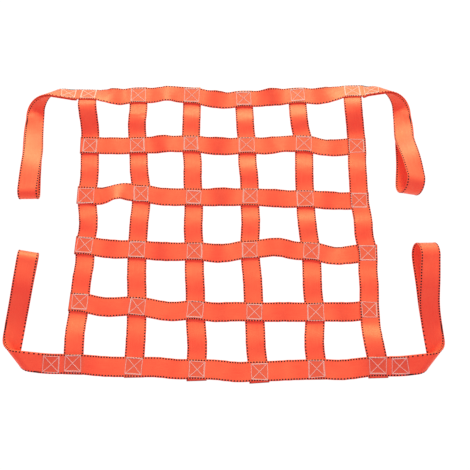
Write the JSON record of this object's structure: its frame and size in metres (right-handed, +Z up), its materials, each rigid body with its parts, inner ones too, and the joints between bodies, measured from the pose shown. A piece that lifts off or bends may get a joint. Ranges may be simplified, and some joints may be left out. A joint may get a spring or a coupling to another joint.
{
  "type": "cargo lifting net",
  "caption": "Square lifting net of flat sewn webbing straps, lying spread out, with a folded-back lifting loop at each corner.",
  "frame": {"origin": "on the ground, under the middle of the outline with its loops", "axes": "+Z up from the ground; +X to the right along the two loop straps; +Y to the far side"},
  "size_m": [1.0933, 0.8196, 0.1284],
  "materials": {
    "webbing": "woven, matt with a slight sheen"
  },
  "bodies": {
    "root": {"long_strap_1": "webbing", "long_strap_2": "webbing", "long_strap_3": "webbing", "long_strap_4": "webbing", "long_strap_5": "webbing", "long_strap_6": "webbing", "cross_strap_2": "webbing", "cross_strap_3": "webbing", "cross_strap_4": "webbing", "cross_strap_5": "webbing", "near_loop_strap": "webbing", "far_loop_strap": "webbing"}
  },
  "joints": []
}
